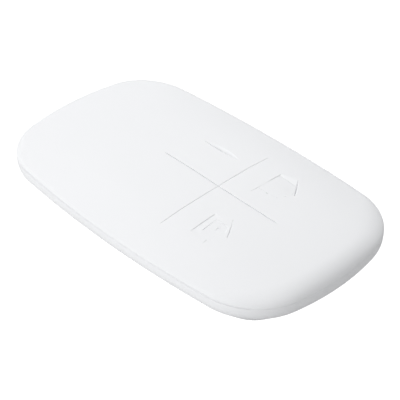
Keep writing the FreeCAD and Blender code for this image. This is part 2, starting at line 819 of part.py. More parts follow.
BOARD_PARTS = {
    "controller_chip": ("chip_size", "chip_size", "chip_thickness", chip_x, size("chip_spread")),
    "radio_chip": ("radio_chip_size", "radio_chip_size", "chip_thickness", chip_x, -size("chip_spread")),
    "radio_crystal": ("crystal_length", "crystal_width", "crystal_height", chip_x, 0),
    "status_led": ("led_length", "led_width", "led_height", resistor_x, 0),
}
for part_name, (long, wide, tall, x, y) in BOARD_PARTS.items():
    node(box(f"{part_name}_solid", size(long), size(wide), size(tall), x, y, board_top), part_name)


def chip_row(name, x, places):
    pitch = size("chip_part_pitch")
    row = [box(f"{name}_{index}", size("chip_part_length"), size("chip_part_width"), size("chip_part_height"),
               x, pitch * number, board_top) for index, number in enumerate(places)]
    return node(group(f"{name}_group", row), name)


chip_row("chip_capacitors", capacitor_x, (-2.5, -1.5, -0.5, 0.5, 1.5, 2.5))
chip_row("chip_resistors", resistor_x, (-2.5, -1.5, 1.5, 2.5))
node(cylinder("light_pipe_solid", size("light_pipe_radius"), pipe_top - pipe_bottom, resistor_x, 0, pipe_bottom),
     "light_pipe")

# Antenna: a bent wire that stands on the board at the bare end

antenna = new_body("antenna")
antenna_x = size("antenna_from_end") - half_length
path = new_sketch(antenna, "antenna_path", "YZ_Plane", antenna_x)
half_span = size("antenna_span") / 2
bend = size("antenna_bend")
bar_z = board_top + size("antenna_height")
turn_y = half_span - bend
turn_z = bar_z - bend
path_points = [(half_span.value, board_top.value), (half_span.value, turn_z.value)]
path.addGeometry(Part.LineSegment(*[FreeCAD.Vector(y, z, 0) for y, z in path_points]), False)
arc(path, (turn_y.value, turn_z.value), bend.value, 0, math.pi / 2)
path.addGeometry(Part.LineSegment(FreeCAD.Vector(turn_y.value, bar_z.value, 0),
                                  FreeCAD.Vector(-turn_y.value, bar_z.value, 0)), False)
arc(path, (-turn_y.value, turn_z.value), bend.value, math.pi / 2, math.pi)
path.addGeometry(Part.LineSegment(FreeCAD.Vector(-half_span.value, turn_z.value, 0),
                                  FreeCAD.Vector(-half_span.value, board_top.value, 0)), False)
path.addConstraint(Sketcher.Constraint("Tangent", 0, END_INDEX, 1, START_INDEX))
path.addConstraint(Sketcher.Constraint("Tangent", 1, END_INDEX, 2, START_INDEX))
path.addConstraint(Sketcher.Constraint("Tangent", 2, END_INDEX, 3, START_INDEX))
path.addConstraint(Sketcher.Constraint("Tangent", 3, END_INDEX, 4, START_INDEX))
path.addConstraint(Sketcher.Constraint("Vertical", 0))
path.addConstraint(Sketcher.Constraint("Horizontal", 2))
path.addConstraint(Sketcher.Constraint("Vertical", 4))
dimension(path, "Radius", bend, 1)
dimension(path, "Radius", bend, 3)
dimension(path, "DistanceX", half_span, ORIGIN_INDEX, 1, 0, START_INDEX)
dimension(path, "DistanceX", -half_span, ORIGIN_INDEX, 1, 4, END_INDEX)
dimension(path, "DistanceY", board_top, ORIGIN_INDEX, 1, 0, START_INDEX)
dimension(path, "DistanceY", board_top, ORIGIN_INDEX, 1, 4, END_INDEX)
dimension(path, "DistanceY", bar_z, ORIGIN_INDEX, 1, 2, START_INDEX)
section = new_sketch(antenna, "antenna_section", "XY_Plane", board_top)
circle = Part.Circle(FreeCAD.Vector(antenna_x.value, half_span.value, 0), FreeCAD.Vector(0, 0, 1),
                     SIZES["antenna_wire_radius"])
section.addGeometry(circle, False)
dimension(section, "Radius", size("antenna_wire_radius"), 0)
dimension(section, "DistanceX", antenna_x, ORIGIN_INDEX, 1, 0, CENTRE_INDEX)
dimension(section, "DistanceY", half_span, ORIGIN_INDEX, 1, 0, CENTRE_INDEX)
pipe = antenna.newObject("PartDesign::AdditivePipe", "antenna_pipe")
pipe.Profile = section
pipe.Spine = path
node(antenna, "antenna_wire")

# Coin cell, its holder and its two contacts

can_top = cell_base + size("can_lip_height")
cell_top = cell_base + size("cell_height")
can_floor = cell_base + size("can_wall")
can_blank = cylinder("can_blank", size("cell_radius"), size("can_lip_height"), cell_x, 0, cell_base)
can_space = cylinder("can_space", size("cell_radius") - size("can_wall"), size("cell_height"), cell_x, 0, can_floor)
node(cut("cell_can_solid", can_blank, can_space), "cell_can")
gasket_blank = cylinder("gasket_blank", size("cap_radius") + size("gasket_width"), can_top - can_floor,
                        cell_x, 0, can_floor)
gasket_space = cylinder("gasket_space", size("cap_radius"), size("cell_height"), cell_x, 0, can_floor)
node(cut("cell_gasket_solid", gasket_blank, gasket_space), "cell_gasket")
node(cylinder("cell_cap_solid", size("cap_radius"), cell_top - can_floor, cell_x, 0, can_floor), "cell_cap")

holder_height = size("board_underside") - size("holder_underside")
holder_inner = size("cell_radius") + size("holder_gap")
holder_blank = cylinder("holder_blank", holder_inner + size("holder_wall"), holder_height,
                        cell_x, 0, size("holder_underside"))
holder_space = cylinder("holder_space", holder_inner, holder_height, cell_x, 0, size("holder_underside"))
contact_slot_width = size("side_contact_width") + size("holder_gap") * 2
slot_depth = size("holder_wall") + size("holder_gap") * 2
slot_x = cell_x - size("cell_radius") - slot_depth / 2
holder_slot = box("holder_slot", slot_depth, contact_slot_width, holder_height, slot_x, 0, size("holder_underside"))
node(cut("battery_holder_solid", holder_blank, fuse("holder_spaces", [holder_space, holder_slot])), "battery_holder")

leaf = size("contact_thickness")
leaf_height = size("board_underside") - size("holder_underside")
leaf_x = cell_x - size("cell_radius") - leaf / 2
foot_length = size("side_foot_length")
side_leaf = box("side_leaf", leaf, size("side_contact_width"), leaf_height, leaf_x, 0, size("holder_underside"))
side_foot = box("side_foot", foot_length, size("side_contact_width"), leaf,
                leaf_x - foot_length / 2 + leaf / 2, 0, size("board_underside") - leaf)
node(fuse("positive_contact_solid", [side_leaf, side_foot]), "positive_contact")

spring = new_body("spring_contact")
spring_lines = new_sketch(spring, "spring_lines", "XZ_Plane", -size("spring_contact_width") / 2)
solder_z = size("board_underside")
foot_x = cell_x + size("spring_foot_length")
bend_x = cell_x + size("spring_bend_length")
tip_x = cell_x - size("spring_tip_length")
add_polygon(spring_lines, [
    (foot_x, solder_z), (bend_x, solder_z), (tip_x, cell_top + leaf),
    (tip_x, cell_top), (bend_x, solder_z - leaf), (foot_x, solder_z - leaf),
])
pad(spring, spring_lines, "spring_pad", size("spring_contact_width"))
node(spring, "negative_contact")

# Battery door

door_top = size("door_face_height")
ring_inner = size("door_hub_radius") - size("door_ring_width")
tab_z = floor + size("door_tab_gap")
tab_top = tab_z + size("door_tab_thickness")
door_pieces = [
    cylinder("door_disc", size("door_radius"), size("door_flange_thickness"), cell_x, 0, size("door_recess")),
    cylinder("door_hub", size("door_hub_radius"), door_top - size("door_recess"), cell_x, 0, size("door_recess")),
]
ring_pieces = [cylinder("door_ring", size("door_hub_radius"), tab_top - door_top, cell_x, 0, door_top)]
for index in range(TAB_COUNT):
    ring_pieces.append(sector(f"door_tab_{index}", tab_radius, size("door_tab_thickness"),
                              size("door_tab_angle"), 360 / TAB_COUNT * index, tab_z))
ring_space = cylinder("door_ring_space", ring_inner, floor + MARGIN, cell_x, 0, door_top)
door_pieces.append(cut("door_ring_and_tabs", fuse("door_ring_blank", ring_pieces), ring_space))
coin_slot = box("coin_slot", size("coin_slot_length"), size("coin_slot_width"),
                size("coin_slot_depth") + size("door_recess"), cell_x, 0, 0)
node(cut("battery_door_solid", fuse("door_blank", door_pieces), coin_slot), "battery_door")

door_seal_z = size("door_recess") + size("door_flange_thickness")
seal_outer = size("door_radius") - size("fit_gap")
door_seal_blank = cylinder("door_seal_blank", seal_outer, size("door_seal_thickness"), cell_x, 0, door_seal_z)
door_seal_space = cylinder("door_seal_space", seal_outer - size("door_seal_width"), size("door_seal_thickness"),
                           cell_x, 0, door_seal_z)
node(cut("door_seal_solid", door_seal_blank, door_seal_space), "door_seal")

# Check every object, then write one file for each piece

doc.recompute()
for item in doc.Objects:
    if "Invalid" in item.State or "Error" in item.State:
        raise RuntimeError(f"{item.Name} failed: {item.State}")
for name, item in nodes.items():
    if item.Shape.isNull() or not item.Shape.isValid() or not item.Shape.Solids:
        raise RuntimeError(f"{name} has no valid solid")

os.makedirs("parts", exist_ok=True)
for name, item in nodes.items():
    item.Shape.exportStep(f"parts/{name}.step")
    bounds = item.Shape.BoundBox
    print(f"{name:22s} {len(item.Shape.Solids)} {item.Shape.Volume:9.3f}  "
          f"x {bounds.XMin:7.2f} {bounds.XMax:7.2f}  y {bounds.YMin:7.2f} {bounds.YMax:7.2f}  "
          f"z {bounds.ZMin:6.2f} {bounds.ZMax:6.2f}")
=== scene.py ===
import math

import bpy
import numpy as np
from mathutils import Matrix, Vector


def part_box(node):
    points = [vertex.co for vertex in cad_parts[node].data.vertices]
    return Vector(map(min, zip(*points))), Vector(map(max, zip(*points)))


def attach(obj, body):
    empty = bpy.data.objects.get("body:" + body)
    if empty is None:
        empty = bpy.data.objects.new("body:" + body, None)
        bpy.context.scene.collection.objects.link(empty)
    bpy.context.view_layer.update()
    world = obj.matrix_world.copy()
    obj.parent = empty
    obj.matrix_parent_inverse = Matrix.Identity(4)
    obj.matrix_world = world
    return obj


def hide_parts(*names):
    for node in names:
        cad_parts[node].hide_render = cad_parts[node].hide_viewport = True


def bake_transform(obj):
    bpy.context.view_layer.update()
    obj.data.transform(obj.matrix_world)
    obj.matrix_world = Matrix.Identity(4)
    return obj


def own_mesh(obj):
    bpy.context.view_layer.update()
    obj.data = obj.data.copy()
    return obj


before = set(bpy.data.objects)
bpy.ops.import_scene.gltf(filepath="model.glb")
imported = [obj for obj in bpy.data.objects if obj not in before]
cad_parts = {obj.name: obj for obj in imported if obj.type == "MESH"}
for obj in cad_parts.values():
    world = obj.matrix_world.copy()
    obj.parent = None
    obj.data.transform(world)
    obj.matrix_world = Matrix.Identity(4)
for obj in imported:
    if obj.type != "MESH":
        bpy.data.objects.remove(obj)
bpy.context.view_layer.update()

# Lengths are in mm unless a comment says otherwise. The key end lies towards +X, the front
# towards -Y, and the camera stands between the two.
MM = 0.001

# Outline of the housing: half length and width, and the radii of its arcs. Each end has the
# radius of its own arc and that of its two corners.
HALF_LENGTH = 32.0
HALF_WIDTH = 19.55
SIDE_RADIUS = 210.0
KEY_END = (46.1, 11.9)
FAR_END = (91.9, 9.57)
POINTS_PER_ARC = {"end": 90, "corner": 110, "side": 190}

# Heights and the curve of the top
SEAM = 7.5
RIM = 7.863
TOP = 10.4
LENGTHWISE_DROP = 0.902
MIDDLE_HALF = 8.0
MIDDLE_RADIUS = 110.0

# The key field: a square window in the cover, quartered by the cross
CROSS_X = 4.65
FIELD = 13.5
KEY_UNDERSIDE = 8.2
KEYS = {"away": (1, 1), "home": (1, -1), "disarm": (-1, 1), "alert": (-1, -1)}


def smooth(low, high, value):
    """A soft step from 0 at low to 1 at high."""
    t = np.clip((value - low) / (high - low), 0, 1)
    return t * t * (3 - 2 * t)


# Outline


def corner_of(end_radius, corner_radius):
    """Centre of the corner arc that touches an end arc and a side arc, and its two directions."""
    end_x = HALF_LENGTH - end_radius
    side_y = HALF_WIDTH - SIDE_RADIUS
    reach_end = end_radius - corner_radius
    reach_side = SIDE_RADIUS - corner_radius
    between = math.hypot(end_x, side_y)
    along = (reach_side**2 - reach_end**2 + between**2) / (2 * between)
    across = math.sqrt(reach_side**2 - along**2)
    unit_x, unit_y = end_x / between, -side_y / between
    centre_x = unit_x * along + unit_y * across
    centre_y = side_y + unit_y * along - unit_x * across
    from_end = math.atan2(centre_y, centre_x - end_x)
    from_side = math.atan2(centre_y - side_y, centre_x)
    return (centre_x, centre_y), from_end, from_side


def outline_samples():
    """Points of the outline and its outward normals, once round, from the key end's arc."""
    near, near_end, near_side = corner_of(*KEY_END)
    far, far_end, far_side = corner_of(*FAR_END)
    pi = math.pi
    arcs = [
        ((HALF_LENGTH - KEY_END[0], 0), KEY_END[0], -near_end, near_end, "end"),
        (near, KEY_END[1], near_end, near_side, "corner"),
        ((0, HALF_WIDTH - SIDE_RADIUS), SIDE_RADIUS, near_side, pi - far_side, "side"),
        ((-far[0], far[1]), FAR_END[1], pi - far_side, pi - far_end, "corner"),
        ((FAR_END[0] - HALF_LENGTH, 0), FAR_END[0], pi - far_end, pi + far_end, "end"),
        ((-far[0], -far[1]), FAR_END[1], pi + far_end, pi + far_side, "corner"),
        ((0, SIDE_RADIUS - HALF_WIDTH), SIDE_RADIUS, pi + far_side, 2 * pi - near_side, "side"),
        ((near[0], -near[1]), KEY_END[1], 2 * pi - near_side, 2 * pi - near_end, "corner"),
    ]
    points, normals = [], []
    for centre, radius, first, last, kind in arcs:
        steps = POINTS_PER_ARC[kind]
        angles = first + (last - first) * np.arange(steps) / steps
        direction = np.stack([np.cos(angles), np.sin(angles)], axis=1)
        points.append(np.array(centre) + radius * direction)
        normals.append(direction)
    return np.concatenate(points), np.concatenate(normals)


EDGE, NORMAL = outline_samples()

# Top surface

# The rim's roll: its run inwards and its drop, and what they gain towards the key end, the far
# end and the rear. A facing is the range of the rim's outward direction in which a gain grows.
# At the key end the rim ends at a set height above the seam.
ROLL_RUN, ROLL_DROP, ROLL_POWER = 0.45, 0.18, 2.2
KEY_END_FACING, KEY_END_RUN, KEY_END_EDGE = (0.0, 0.8), 3.0, 0.32
FAR_END_FACING, FAR_END_RUN, FAR_END_DROP = (0.25, 0.95), 0.9, 0.41
REAR_FACING, REAR_RUN, REAR_DROP = (0.3, 0.95), 0.6, 0.14


def crown(x, y):
    """Height of the plain domed top: a wide middle arc and a tighter arc on each side."""
    rise = TOP - RIM - LENGTHWISE_DROP * (x / HALF_LENGTH) ** 2
    upright = math.sqrt(MIDDLE_RADIUS**2 - MIDDLE_HALF**2)
    fall = rise - MIDDLE_RADIUS + upright
    run = HALF_WIDTH - MIDDLE_HALF
    side = (fall**2 + run**2) * MIDDLE_RADIUS / (2 * (fall * upright - run * MIDDLE_HALF))
    middle_z = RIM + rise - MIDDLE_RADIUS
    side_y = MIDDLE_HALF * (1 - side / MIDDLE_RADIUS)
    side_z = middle_z + upright * (1 - side / MIDDLE_RADIUS)
    across = np.abs(y)
    middle = middle_z + np.sqrt(MIDDLE_RADIUS**2 - np.minimum(across, MIDDLE_HALF) ** 2)
    flank = side_z + np.sqrt(np.maximum(side**2 - (across - side_y) ** 2, 0))
    return np.where(across < MIDDLE_HALF, middle, flank)


def roll(normal, inset, rim_z):
    """How far the rim rolls down below the crown, by its direction and the distance inwards."""
    key = smooth(*KEY_END_FACING, normal[:, 0])
    far = smooth(*FAR_END_FACING, -normal[:, 0])
    rear = smooth(*REAR_FACING, normal[:, 1])
    run = ROLL_RUN + KEY_END_RUN * key + FAR_END_RUN * far + REAR_RUN * rear
    drop = ROLL_DROP + key * (rim_z - SEAM - KEY_END_EDGE) + FAR_END_DROP * far + REAR_DROP * rear
    t = np.clip(1 - inset / run, 0, 1)
    return drop * (1 - np.sqrt(np.maximum(1 - t**ROLL_POWER, 0)))


# Marks in the key field: sunken polygons and fine cuts, with x and y from the frame's origin

# Corners of the houses, counterclockwise from above, and for each edge the run of its slope at
# the edge's start and end. Their bases lie towards the far end, their roofs towards the key end.
CLOSED_HOUSE = [(9.26, 4.58), (13.05, 4.85), (14.6, 7.7), (12.1, 11.6), (8.96, 10.8)]
CLOSED_RUNS = [(0.5, 0.5), (0.5, 0.5), (0.10, 0.10), (1.4, 0.62), (0.06, 0.06)]
OPEN_HOUSE = [(9.34, -11.1), (12.85, -11.44), (14.75, -8.05), (12.5, -4.5), (9.29, -5.22)]
OPEN_RUNS = [(0.8, 0.8), (0.8, 0.8), (0.10, 0.10), (1.15, 0.35), (0.06, 0.06)]
INNER_HOUSE = [(10.6, -9.93), (12.9, -10.14), (13.9, -8.08), (13.1, -6.08), (10.45, -6.13)]
INNER_RUNS = [(0.6, 0.6), (0.6, 0.6), (0.10, 0.10), (0.08, 0.08), (0.07, 0.07)]

# Depths of the houses' floors. The closed one gains depth over a range of y, and a share more
# over a range of x, towards its roof. The open one loses depth towards its roof.
CLOSED_DEPTH, CLOSED_GAIN, CLOSED_GAIN_Y = 0.02, 0.11, (6.0, 10.2)
CLOSED_ROOF_SHARE, CLOSED_ROOF_X = 0.8, (9.5, 12.7)
OPEN_DEPTH, OPEN_LOSS, OPEN_LOSS_X = 0.112, 0.082, (9.5, 11.0)
INNER_DEPTH = 0.04

# Fine cuts: start, end, and the half width and depth at the start and at the end
STROKES = [
    # Closed house: its base, its front side with a nick, its roof, a tick, and its rear side
    ((9.16, 2.9), (9.26, 4.4), (0.06, 0.08), (0.05, 0.14)),
    ((9.26, 4.4), (9.19, 6.9), (0.08, 0.06), (0.13, 0.02)),
    ((9.19, 6.9), (9.14, 8.5), (0.07, 0.07), (0.02, 0.03)),
    ((9.14, 8.5), (9.05, 9.8), (0.07, 0.07), (0.03, 0.01)),
    ((9.45, 4.62), (13.4, 5.0), (0.06, 0.06), (0.05, 0.04)),
    ((11.2, 4.66), (11.45, 4.68), (0.08, 0.08), (0.26, 0.2)),
    ((12.02, 11.6), (13.2, 9.86), (0.10, 0.12), (0.13, 0.42)),
    ((13.2, 9.86), (13.7, 9.15), (0.12, 0.135), (0.42, 0.52)),
    ((13.7, 9.15), (14.25, 8.35), (0.135, 0.14), (0.50, 0.48)),
    ((14.25, 8.35), (14.6, 7.75), (0.14, 0.12), (0.46, 0.16)),
    ((13.9, 6.2), (13.85, 6.6), (0.07, 0.07), (0.10, 0.08)),
    ((9.31, 10.14), (12.75, 10.17), (0.06, 0.06), (0.08, 0.13)),
    # Open house: its roof, the inner house's base and rear side, its door, and a tick
    ((12.46, -4.45), (13.3, -5.7), (0.08, 0.08), (0.08, 0.12)),
    ((13.3, -5.7), (14.1, -6.95), (0.08, 0.09), (0.12, 0.26)),
    ((14.1, -6.95), (14.7, -8.05), (0.09, 0.07), (0.26, 0.13)),
    ((10.6, -9.4), (10.45, -6.13), (0.10, 0.065), (0.17, 0.05)),
    ((10.45, -6.13), (12.9, -6.08), (0.05, 0.05), (0.08, 0.10)),
    ((12.09, -8.15), (12.03, -7.2), (0.07, 0.075), (0.04, 0.17)),
    ((12.72, -11.5), (12.72, -10.6), (0.06, 0.06), (0.06, 0.10)),
    # Bar: its front edge
    ((-6.2, 7.66), (-3.9, 7.63), (0.06, 0.08), (0.16, 0.42)),
    ((-3.9, 7.63), (-1.8, 7.66), (0.08, 0.07), (0.42, 0.26)),
    ((-1.8, 7.66), (0.6, 7.72), (0.07, 0.06), (0.26, 0.02)),
]

# The bar: a lens with a steep wall at its front, whose floor rises gently towards its rear
BAR_CENTRE = (-2.1, 7.78)
BAR_HALF_LENGTH = 3.4
BAR_SLOPE = 0.015
BAR_WALL = (-0.02, 0.03)
BAR_WIDTH = 0.9
BAR_LEAST_WIDTH = 0.04
BAR_DEPTH = 0.42


def inside_edges(x, y, corners, runs):
    """Depth share of a sunken polygon, which rises from 0 to 1 over the run of each edge."""
    share = np.ones_like(x)
    for index, (x0, y0) in enumerate(corners):
        x1, y1 = corners[(index + 1) % len(corners)]
        dx, dy = x1 - x0, y1 - y0
        length = math.hypot(dx, dy)
        way = np.clip(((x - x0) * dx + (y - y0) * dy) / length**2, 0, 1)
        distance = (dx * (y - y0) - dy * (x - x0)) / length
        first, last = runs[index]
        share = np.minimum(share, np.clip(distance / (first + (last - first) * way), 0, 1))
    return share


def stroke(x, y, start, end, half_widths, depths):
    """Depth of a fine cut between two points, whose width and depth change on its way."""
    (x0, y0), (x1, y1) = start, end
    dx, dy = x1 - x0, y1 - y0
    length = math.hypot(dx, dy)
    along = ((x - x0) * dx + (y - y0) * dy) / length
    across = np.abs((x - x0) * dy - (y - y0) * dx) / length
    beyond = np.maximum(np.maximum(-along, along - length), 0)
    way = np.clip(along / length, 0, 1)
    half_width = half_widths[0] + (half_widths[1] - half_widths[0]) * way
    depth = depths[0] + (depths[1] - depths[0]) * way
    return depth * np.clip(1 - np.hypot(across, beyond) / half_width, 0, 1)


def bar(x, y):
    """Depth of the bar."""
    along = np.clip((x - BAR_CENTRE[0]) / BAR_HALF_LENGTH, -1, 1)
    behind = y - BAR_CENTRE[1] - BAR_SLOPE * (x - BAR_CENTRE[0])
    swell = np.sqrt(1 - along**2)
    width = np.maximum(BAR_WIDTH * swell, BAR_LEAST_WIDTH)
    return BAR_DEPTH * swell * smooth(*BAR_WALL, behind) * np.clip(1 - behind / width, 0, 1)


def marks(x, y):
    """Depth of the sunken marks at each place of the key field."""
    closed_depth = CLOSED_DEPTH + CLOSED_GAIN * smooth(*CLOSED_GAIN_Y, y)
    closed_depth = closed_depth * (1 + CLOSED_ROOF_SHARE * smooth(*CLOSED_ROOF_X, x))
    open_depth = OPEN_DEPTH - OPEN_LOSS * smooth(*OPEN_LOSS_X, x)
    depth = closed_depth * inside_edges(x, y, CLOSED_HOUSE, CLOSED_RUNS)
    depth += open_depth * inside_edges(x, y, OPEN_HOUSE, OPEN_RUNS)
    depth += INNER_DEPTH * inside_edges(x, y, INNER_HOUSE, INNER_RUNS)
    depth += bar(x, y)
    cuts = np.zeros_like(x)
    for item in STROKES:
        cuts = np.maximum(cuts, stroke(x, y, *item))
    return depth + cuts


# The cross: depth of one side of a slit by the distance from its middle, lengthwise and across.
# Each arm has the distance at which it starts to fade, and its share of that depth.
SLIT_ACROSS = (0, 0.025, 0.045, 0.065, 0.09)
LENGTHWISE_SLIT = (0.5, 0.45, 0.3, 0.06, 0.0)
CROSSWISE_SLIT = (0.3, 0.13, 0.02, 0.0, 0.0)
FAR_ARM, KEY_END_ARM = (11.6, 1.2), (11.9, 0.88)
FRONT_ARM, REAR_ARM = (11.5, 1.1), (10.6, 0.85)
ARM_END = 13.4
SHOULDER_DEPTH = 0.03
SHOULDER_WIDTH = 0.75

# The keys' tops are very slightly hollow round a place as far along as across, and level again
# over a range towards the border
DISH_DEPTH = 0.04
DISH_MIDDLE = 6.8
DISH_SPREAD = 18
DISH_FADE = (10.5, 13.2)


def cross_groove(u, v, along, across):
    """Depth of the cross at u and v from its centre lines: a fine cut with soft shoulders."""
    lengthwise = (u, v, LENGTHWISE_SLIT, along, FAR_ARM, KEY_END_ARM)
    crosswise = (v, u, CROSSWISE_SLIT, across, FRONT_ARM, REAR_ARM)
    depth = np.zeros_like(u)
    for way, off, profile, direction, low_arm, high_arm in (lengthwise, crosswise):
        fade = np.where(direction < 0, low_arm[0], high_arm[0])
        share = np.where(direction < 0, low_arm[1], high_arm[1])
        reach = 1 - smooth(0, 1, (way - fade) / (ARM_END - fade))
        slit = share * np.interp(off, SLIT_ACROSS, profile)
        shoulder = SHOULDER_DEPTH * np.exp(-((off / SHOULDER_WIDTH) ** 2))
        depth = np.maximum(depth, reach * (slit + shoulder))
    return depth


def dish(u, v):
    """Depth of a key's hollow at u and v from the cross's centre lines."""
    fade = 1 - smooth(*DISH_FADE, np.maximum(u, v))
    distance_squared = (u - DISH_MIDDLE) ** 2 + (v - DISH_MIDDLE) ** 2
    return DISH_DEPTH * np.exp(-distance_squared / DISH_SPREAD) * fade


def field_height(x, y, u, v, along, across):
    """Height of the key field's top at x and y, which lie u and v from the cross's lines."""
    return crown(x, y) - cross_groove(u, v, along, across) - dish(u, v) - marks(x, y)


# Mesh making. Angles are in degrees.

SKIN_SHARP_ANGLE = 50
TRAY_SHARP_ANGLE = 35


def shade(mesh, sharp_angle):
    """Makes a mesh smooth, apart from edges whose faces meet at more than sharp_angle."""
    mesh.polygons.foreach_set("use_smooth", [True] * len(mesh.polygons))
    mesh.set_sharp_from_angle(angle=math.radians(sharp_angle))


def add_skin(name, points, faces):
    """A piece of the white skin."""
    mesh = bpy.data.meshes.new(name)
    mesh.from_pydata((points * MM).tolist(), [], faces)
    mesh.validate()
    shade(mesh, SKIN_SHARP_ANGLE)
    mesh.update()
    piece = bpy.data.objects.new(name, mesh)
    bpy.context.scene.collection.objects.link(piece)
    mesh.materials.append(SHELL)
    return piece


def ring_faces(rings, count, close=False):
    """Quads between rings of points that are stored one after the other."""
    faces = []
    for ring in range(rings if close else rings - 1):
        first, second = ring * count, (ring + 1) % rings * count
        for index in range(count):
            after = (index + 1) % count
            faces.append((first + index, first + after, second + after, second + index))
    return faces


def closed_stack(name, levels, ring_at):
    """A closed solid with flat caps, from a ring of points at each level's size and height."""
    rings = [ring_at(*level) for level in levels]
    count = len(rings[0])
    faces = [tuple(reversed(face)) for face in ring_faces(len(rings), count)]
    last = (len(rings) - 1) * count
    faces.append(tuple(range(count)))
    faces.append(tuple(range(last + count - 1, last - 1, -1)))
    mesh = bpy.data.meshes.new(name)
    mesh.from_pydata((np.concatenate(rings) * MM).tolist(), [], faces)
    mesh.update()
    item = bpy.data.objects.new(name, mesh)
    bpy.context.scene.collection.objects.link(item)
    return item


def outline_ring(inset, z):
    """A ring of points at a distance inwards from the outline."""
    return np.column_stack([EDGE - inset * NORMAL, np.full(len(EDGE), z)])


def circle_at(x, y, count):
    """The function that gives closed_stack its rings for a round solid."""
    turn = np.linspace(0, 2 * math.pi, count, endpoint=False)

    def ring(radius, z):
        circle = [x + radius * np.cos(turn), y + radius * np.sin(turn)]
        return np.column_stack(circle + [np.full(count, z)])

    return ring


def disc(name, x, y, radius, low, high, count):
    """A round solid between two heights, with count sides."""
    return closed_stack(name, [(radius, high), (radius, low)], circle_at(x, y, count))


def combine(base, tool, operation):
    """Joins or cuts a closed solid with another, and removes the other."""
    modifier = base.modifiers.new("solid", "BOOLEAN")
    modifier.object = tool
    modifier.operation = operation
    modifier.solver = "MANIFOLD"
    bpy.context.view_layer.update()
    graph = bpy.context.evaluated_depsgraph_get()
    mesh = bpy.data.meshes.new_from_object(base.evaluated_get(graph))
    base.modifiers.clear()
    base.data = mesh
    bpy.data.objects.remove(tool)


# Materials. Scales of noise are per metre.

NOISE_LOW, NOISE_HIGH = 0.3, 0.7
NOISE_DETAIL, GRAIN_DETAIL = 4, 2
GRAIN_PER_NOISE = 8
GRAIN_METRES = 0.00005
SHELL_BUMP, SHELL_GRAIN, SHELL_SPECULAR = 0.05, 5200, 0.35
NODE_BUMP = 0.15


def noise_material(name, first, second, scale, rough, bump, metallic=0.0, grain_scale=None):
    """A surface whose colour and roughness vary with a noise, with the relief of a finer one."""
    material = bpy.data.materials.new(name)
    material.use_nodes = True
    nodes, links = material.node_tree.nodes, material.node_tree.links
    nodes.clear()
    output = nodes.new("ShaderNodeOutputMaterial")
    shader = nodes.new("ShaderNodeBsdfPrincipled")
    links.new(shader.outputs["BSDF"], output.inputs["Surface"])
    place = nodes.new("ShaderNodeTexCoord")
    noise = nodes.new("ShaderNodeTexNoise")
    noise.inputs["Scale"].default_value = scale
    noise.inputs["Detail"].default_value = NOISE_DETAIL
    links.new(place.outputs["Object"], noise.inputs["Vector"])
    ramp = nodes.new("ShaderNodeValToRGB")
    low_stop, high_stop = ramp.color_ramp.elements
    low_stop.position, high_stop.position = NOISE_LOW, NOISE_HIGH
    low_stop.color, high_stop.color = (*first, 1), (*second, 1)
    links.new(noise.outputs["Fac"], ramp.inputs["Fac"])
    links.new(ramp.outputs["Color"], shader.inputs["Base Color"])
    reach = nodes.new("ShaderNodeMapRange")
    reach.inputs["From Min"].default_value = NOISE_LOW
    reach.inputs["From Max"].default_value = NOISE_HIGH
    reach.inputs["To Min"].default_value = rough[0]
    reach.inputs["To Max"].default_value = rough[1]
    links.new(noise.outputs["Fac"], reach.inputs["Value"])
    links.new(reach.outputs["Result"], shader.inputs["Roughness"])
    grain = nodes.new("ShaderNodeTexNoise")
    grain.inputs["Scale"].default_value = grain_scale or scale * GRAIN_PER_NOISE
    grain.inputs["Detail"].default_value = GRAIN_DETAIL
    links.new(place.outputs["Object"], grain.inputs["Vector"])
    relief = nodes.new("ShaderNodeBump")
    relief.inputs["Strength"].default_value = bump
    relief.inputs["Distance"].default_value = GRAIN_METRES
    links.new(grain.outputs["Fac"], relief.inputs["Height"])
    links.new(relief.outputs["Normal"], shader.inputs["Normal"])
    shader.inputs["Metallic"].default_value = metallic
    return material


SHELL = noise_material("shell_white", (0.832, 0.84, 0.855), (0.842, 0.85, 0.866), 60, (0.5, 0.56),
                       SHELL_BUMP, grain_scale=SHELL_GRAIN)
shell_shader = SHELL.node_tree.nodes["Principled BSDF"]
shell_shader.inputs["Specular IOR Level"].default_value = SHELL_SPECULAR

# Key field

# Grid lines by their distance from the cross's lines, finer along the cross and over the marks
GRID = np.concatenate([
    (0, 0.025, 0.045, 0.065, 0.09, 0.12, 0.17), np.linspace(0.24, 0.8, 7, endpoint=False),
    np.linspace(0.8, 4.2, 18, endpoint=False), np.linspace(4.2, 11.8, 169, endpoint=False),
    np.linspace(11.8, FIELD, 15),
])
LAST = len(GRID) - 1

# How far the line across bows towards the far end, by powers of the distance to rear and front
BOW_REAR, BOW_REAR_SQUARE, BOW_FRONT_CUBE = 0.028, 0.0012, 0.00008
# How far the lengthwise line stands off the middle, and what it loses and gains over ranges of x
RISE_FAR_END = 0.17
RISE_LOSS, RISE_LOSS_X = 0.14, (-3, 5)
RISE_GAIN, RISE_GAIN_X = 0.09, (9, 17)


def field_place(along, across, u, v):
    """x and y of grid places: the cross's lines bow and stand off, less towards the border."""
    x, y = CROSS_X + u * along, v * across
    rear, front = np.maximum(y, 0), np.maximum(-y, 0)
    bow = -BOW_REAR * rear - BOW_REAR_SQUARE * rear**2 - BOW_FRONT_CUBE * front**3
    rise = RISE_FAR_END - RISE_LOSS * smooth(*RISE_LOSS_X, x) + RISE_GAIN * smooth(*RISE_GAIN_X, x)
    return x + bow * (1 - smooth(0, FIELD, u)), y + rise * (1 - smooth(0, FIELD, v))


def field_points(along, across, u, v):
    """Points of the key field's top at grid places."""
    x, y = field_place(along, across, u, v)
    return np.column_stack([x, y, field_height(x, y, u, v, along, across)])


